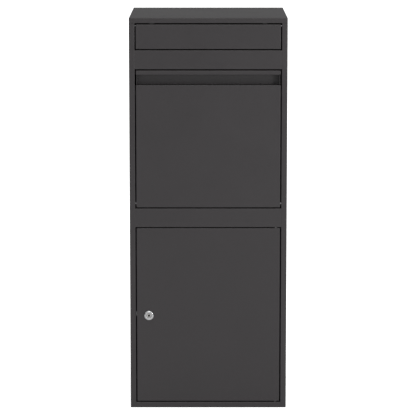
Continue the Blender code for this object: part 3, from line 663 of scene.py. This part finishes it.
# ------------------------------------------------------------------ pins, bushes and buffers
for s, word in ((-1, "left"), (1, "right")):
    lo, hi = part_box("letter_pin_" + word)
    a, b = (lo.x, hi.x) if s > 0 else (hi.x, lo.x)
    piece("letter_axle_" + word, rod(0.0022, a, b, (0, letter_pos[1], letter_pos[2]), "X", 40, 0.0004),
          "letter_pin_" + word, STEEL)
    lo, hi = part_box("parcel_pin_" + word)
    a, b = (lo.x, hi.x) if s > 0 else (hi.x, lo.x)
    prof = [(0, a), (0.0036, a), (0.0044, a + s * 0.00025), (0.0049, a + s * 0.0007), (0.0050, a + s * 0.0011),
            (0.0050, a + s * 0.0018), (0.0030, a + s * 0.0018), (0.0030, b - s * 0.0006), (0.0024, b), (0, b)]
    piece("parcel_axle_" + word, turned(prof, (0, py, pz), "X", 40), "parcel_pin_" + word, STEEL)
    for kind, pos, bore, barrel, flange in (("letter", letter_pos, 0.00235, 0.0033, 0.0042),
                                            ("parcel", parcel_pos, 0.00315, 0.0039, 0.0043)):
        lo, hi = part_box("%s_bush_%s" % (kind, word))
        a, c = (lo.x, hi.x) if s > 0 else (hi.x, lo.x)
        b = a + s * SHEET
        f = 0.0002
        prof = [(bore, a + s * f), (bore + f, a), (barrel - f, a), (barrel, a + s * f), (barrel, b), (flange, b),
                (flange, c - s * 0.0004), (flange - 0.0004, c), (bore + f, c), (bore, c - s * f)]
        piece("%s_sleeve_%s" % (kind, word), turned(prof, (0, pos[1], pos[2]), "X", 40),
              "%s_bush_%s" % (kind, word), NYLON)

dx, dy = door_pos[0], door_pos[1]
dlo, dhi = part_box("door")
for word, s in (("top", 1), ("bottom", -1)):
    lo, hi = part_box("door_pin_" + word)
    tip, root = (lo.z, hi.z) if s > 0 else (hi.z, lo.z)
    seat = (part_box("middle_rail")[0].z + SHEET + GAP) if s > 0 else (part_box("bottom_rail")[1].z - SHEET - GAP)
    prof = [(0, tip), (0.0022, tip), (0.0030, tip + s * 0.0008), (0.0030, seat), (0.0047, seat),
            (0.0050, seat + s * 0.0003), (0.0050, seat + s * 0.0022), (0.0047, seat + s * 0.0025),
            (0.0030, seat + s * 0.0025), (0.0030, root - s * 0.0003), (0.0027, root), (0, root)]
    piece("door_axle_" + word, turned(prof, (dx, dy, 0), "Z", 40), "door_pin_" + word, STEEL)
    lo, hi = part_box("door_bush_" + word)
    out, rear = (hi.z, lo.z) if s > 0 else (lo.z, hi.z)
    seat = rear + s * 0.0020
    prof = [(0.00335, out), (0.0039, out), (0.0042, out - s * 0.0003), (0.0042, seat), (0.0050, seat),
            (0.0052, seat - s * 0.0002), (0.0052, rear + s * 0.0004), (0.0048, rear), (0.00335, rear),
            (0.00315, rear + s * 0.0002), (0.00315, out - s * 0.0002)]
    piece("door_sleeve_" + word, turned(prof, (dx, dy, 0), "Z", 40), "door_bush_" + word, NYLON)

for name in ("door_buffer_upper", "door_buffer_lower", "flap_buffer_left", "flap_buffer_right",
             "letter_stop_left", "letter_stop_right"):
    lo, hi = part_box(name)
    piece(name + "_pad", brick(lo, hi, 0.0014, 4), name, RUBBER, sharp=60)

for i in (1, 2, 3, 4):
    for word in ("base", "back"):
        name = "%s_plug_%d" % (word, i)
        lo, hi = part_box(name)
        mid = (lo + hi) / 2
        axis, start, end = ("Z", lo.z, hi.z) if word == "base" else ("Y", hi.y, lo.y)
        s = 1 if end > start else -1
        prof = [(0, start + s * 0.0002), (0.0040, start + s * 0.0001), (0.0046, start + s * 0.0004),
                (0.0047, start + s * 0.0008), (0.0047, start + s * 0.0015), (0.0083, start + s * 0.0015),
                (0.0085, start + s * 0.0018), (0.0082, start + s * 0.0025), (0.0070, end - s * 0.0004),
                (0.0050, end - s * 0.0001), (0.0, end)]
        piece("%s_bung_%d" % (word, i), turned(prof, mid, axis, 40), name, RUBBER, sharp=50)

# ------------------------------------------------------------------ lock
lx, lz = lock_pos[0], lock_pos[2]
lo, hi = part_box("lock_housing")
face, rear = lo.y, hi.y
seat = FRONT - 0.0011
prof = [(0.00615, face + 0.0006), (0.0066, face + 0.0001), (0.0070, face), (0.0099, face), (0.0104, face + 0.0001),
        (0.0116, face + 0.0007), (0.0122, face + 0.0012), (0.0126, face + 0.0019), (0.0127, face + 0.0026),
        (0.0127, seat - 0.0002), (0.0125, seat), (0.0095, seat), (0.0095, FRONT + 0.0024)]
y = FRONT + 0.0024
while y < rear - 0.0016:
    prof += [(0.0095, y + 0.0002), (0.0091, y + 0.0005), (0.0095, y + 0.0008)]
    y += 0.0010
prof += [(0.0095, rear - 0.0004), (0.0091, rear), (0.0065, rear), (0.00615, rear - 0.0003)]
piece("lock_body", turned(prof, (lx, 0, lz), "Y", 72), "lock_housing", CHROME, sharp=38)

# Black rubber seal ring under the lock face. Its black also serves as painted shade, standing in for the contact
# shadow round the protruding face.
lo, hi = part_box("lock_gasket")
prof = [(0.0098, lo.y), (0.0133, lo.y), (0.0135, lo.y + 0.0001), (0.0135, hi.y - 0.0001), (0.0133, hi.y), (0.0098, hi.y)]
piece("lock_seal", turned(prof, (lx, 0, lz), "Y", 72), "lock_gasket", RUBBER)

lo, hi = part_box("lock_nut")
half = (hi.z - lo.z) / 2
corner = half / math.cos(math.pi / 6)
hexagon = [(lx + corner * math.cos(math.pi / 3 * k), lz + corner * math.sin(math.pi / 3 * k)) for k in range(6)]
cone = turned([(0, lo.y - 0.001), (half - 0.0006, lo.y - 0.0002), (corner + 0.0012, lo.y + 0.0014),
               (corner + 0.0012, hi.y - 0.0014), (half - 0.0006, hi.y + 0.0002), (0, hi.y + 0.001)], (lx, 0, lz), "Y", 72)
bm = carve(plate(hexagon, "Y", lo.y, hi.y, edge=0), [cone], "INTERSECT")
piece("lock_hex", carve(bm, [rod(0.0098, lo.y - 0.002, hi.y + 0.002, (lx, 0, lz), "Y", 48)]), "lock_nut", ZINC)

lo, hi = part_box("lock_plug")
clo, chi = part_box("lock_cam")
root = clo.y - GAP
bm = turned([(0, lo.y + 0.00015), (0.0050, lo.y + 0.0001), (0.0056, lo.y), (0.0060, lo.y + 0.0004), (0.0060, root), (0, root)],
            (lx, 0, lz), "Y", 64)
stub = brick((lx - 0.0032, root - 0.0027, lz - 0.0032), (lx + 0.0032, hi.y, lz + 0.0032))
bm = carve(bm, [stub], "UNION")
slot = [(-0.0012, -0.0040), (0.0005, -0.0040), (0.0005, -0.0014), (0.0012, -0.0006), (0.0012, 0.0040), (-0.0007, 0.0040),
        (-0.0007, 0.0014), (-0.0012, 0.0006)]
key = plate([(lx + u, lz + v) for u, v in slot], "Y", lo.y - 0.002, lo.y + 0.012, edge=0)
sink = turned([(0, lo.y - 0.0010), (0.0029, lo.y - 0.0010), (0.0029, lo.y), (0.0022, lo.y + 0.0011), (0, lo.y + 0.0011)],
              (lx, 0, lz), "Y", 48)
bm = carve(bm, [sink, key, rod(0.0022, hi.y - 0.009, hi.y + 0.002, (lx, 0, lz), "Y", 32)])
core = piece("lock_core", bm, "lock_plug", PLUG, extra=(KEYWAY_SHADE,))
# Faces deep inside the key slot take the near-black keyway material: painted shade in the slot, not a dark part of the
# lock.
for p in core.data.polygons:
    c = p.center
    if lo.y + 0.0009 < c.y < lo.y + 0.0125 and abs(c.x - lx) < 0.0032 and abs(c.z - lz) < 0.0045:
        p.material_index = 1

hub, half = 0.0090, (0.011) / 2
open_angle = math.asin(half / hub)
loop = []
for k in range(49):
    t = -math.pi / 2 + open_angle + (2 * math.pi - 2 * open_angle) * k / 48
    loop.append((lx + hub * math.cos(t), lz + hub * math.sin(t)))
tip = clo.z
for k in range(9):
    t = math.pi + math.pi / 2 * k / 8
    loop.append((lx - half + 0.003 + 0.003 * math.cos(t), tip + 0.003 + 0.003 * math.sin(t)))
for k in range(9):
    t = 1.5 * math.pi + math.pi / 2 * k / 8
    loop.append((lx + half - 0.003 + 0.003 * math.cos(t), tip + 0.003 + 0.003 * math.sin(t)))
hole = 0.00335
bm = plate(loop, "Y", clo.y, chi.y, edge=0.0003,
           holes=[brick((lx - hole, clo.y - 0.002, lz - hole), (lx + hole, chi.y + 0.002, lz + hole))])
piece("lock_tongue", bm, "lock_cam", ZINC, sharp=28)

lo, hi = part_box("cam_screw")
head = chi.y + GAP
prof = [(0, lo.y), (0.0015, lo.y), (0.0020, lo.y + 0.0005), (0.0020, head), (0.0052, head), (0.0055, head + 0.0003),
        (0.0054, head + 0.0012), (0.0048, head + 0.0021), (0.0036, head + 0.0027), (0.0018, head + 0.0030), (0, hi.y)]
cross = [brick((lx - 0.0006, head + 0.0014, lz - 0.0027), (lx + 0.0006, hi.y + 0.001, lz + 0.0027)),
         brick((lx - 0.0027, head + 0.0014, lz - 0.0006), (lx + 0.0027, hi.y + 0.001, lz + 0.0006))]
piece("cam_bolt", carve(turned(prof, (lx, 0, lz), "Y", 48), cross), "cam_screw", ZINC)

# ------------------------------------------------------------------ stage and light
SKY_LOW, SKY_HIGH, SKY_FRONT = 0.238, 1.65, 0.37
floor = bpy.data.objects.new("floor", bpy.data.meshes.new("floor"))
bm = bmesh.new()
bmesh.ops.create_circle(bm, cap_ends=True, radius=45.0, segments=128)
bm.to_mesh(floor.data)
bm.free()
scene.collection.objects.link(floor)
g = Graph("floor_white")
g.link(g.mix(g.remap(g.noise(0.7, 2.0).outputs["Fac"], 0.0, 1.0), (0.550, 0.550, 0.550), (0.565, 0.565, 0.565)),
       g.bsdf.inputs["Base Color"])
g.bsdf.inputs["Roughness"].default_value = 0.9
g.bsdf.inputs["Emission Color"].default_value = (1.0, 1.0, 1.0, 1.0)
# The floor gives off no light where the box stands on it, so none comes up through the slits in the base.
apart = g.node("ShaderNodeSeparateXYZ")
g.link(g.coord.outputs["Object"], apart.inputs[0])
beside = g.node("ShaderNodeMath", operation="MAXIMUM")
for i, (axis, half) in enumerate((("X", cad_hi[0]), ("Y", cad_hi[1]))):
    reach = g.node("ShaderNodeMath", operation="ABSOLUTE")
    g.link(apart.outputs[axis], reach.inputs[0])
    g.link(g.remap(reach.outputs[0], 0.0, 1.0, half - 0.002, half), beside.inputs[i])
g.link(g.remap(beside.outputs[0], 0.0, 0.72), g.bsdf.inputs["Emission Strength"])
g.bsdf.inputs["Specular IOR Level"].default_value = 0.1
floor.data.materials.append(g.mat)

world = bpy.data.worlds.new("studio")
world.use_nodes = True
tree = world.node_tree
back = tree.nodes["Background"]
back.inputs["Color"].default_value = (1.0, 1.0, 1.0, 1.0)
coord = tree.nodes.new("ShaderNodeTexCoord")
split = tree.nodes.new("ShaderNodeSeparateXYZ")
tree.links.new(coord.outputs["Generated"], split.inputs[0])


def ramp(value, a, b, lo, hi):
    n = tree.nodes.new("ShaderNodeMapRange")
    n.interpolation_type = "SMOOTHSTEP"
    n.inputs["From Min"].default_value, n.inputs["From Max"].default_value = a, b
    n.inputs["To Min"].default_value, n.inputs["To Max"].default_value = lo, hi
    tree.links.new(value, n.inputs["Value"])
    return n.outputs["Result"]


def combine(op, a, b):
    n = tree.nodes.new("ShaderNodeMath")
    n.operation = op
    tree.links.new(a, n.inputs[0])
    tree.links.new(b, n.inputs[1])
    return n.outputs[0]


lean = tree.nodes.new("ShaderNodeVectorMath")
lean.operation = "DOT_PRODUCT"
lean.inputs[1].default_value = (0.0, -0.20, 0.98)
tree.links.new(coord.outputs["Generated"], lean.inputs[0])
overhead = ramp(lean.outputs["Value"], 0.12, 0.82, SKY_LOW, SKY_HIGH)
low_band = ramp(split.outputs["Z"], 0.30, 0.55, 1.0, 0.0)
toward = ramp(split.outputs["Y"], -0.95, -0.25, SKY_FRONT, 0.0)
sky = combine("ADD", overhead, combine("MULTIPLY", low_band, toward))
path = tree.nodes.new("ShaderNodeLightPath")
seen = tree.nodes.new("ShaderNodeMix")
seen.inputs["B"].default_value = 1.15
tree.links.new(path.outputs["Is Camera Ray"], seen.inputs["Factor"])
tree.links.new(sky, seen.inputs["A"])
tree.links.new(seen.outputs["Result"], back.inputs["Strength"])
scene.world = world


def area(name, location, target, size, power):
    data = bpy.data.lights.new(name, "AREA")
    data.shape = "RECTANGLE"
    data.size, data.size_y = size
    data.energy = power
    ob = bpy.data.objects.new(name, data)
    ob.location = location
    ob.rotation_euler = (Vector(target) - Vector(location)).to_track_quat("-Z", "Y").to_euler()
    scene.collection.objects.link(ob)
    return ob


area("key_soft", (2.02, -3.35, 1.2), (0, -0.19, 0.6), (0.5, 0.5), 73.0)
area("front_soft", (0.0, -3.2, 3.2), (0, -0.5, 0.1), (2.2, 1.4), 50.0)
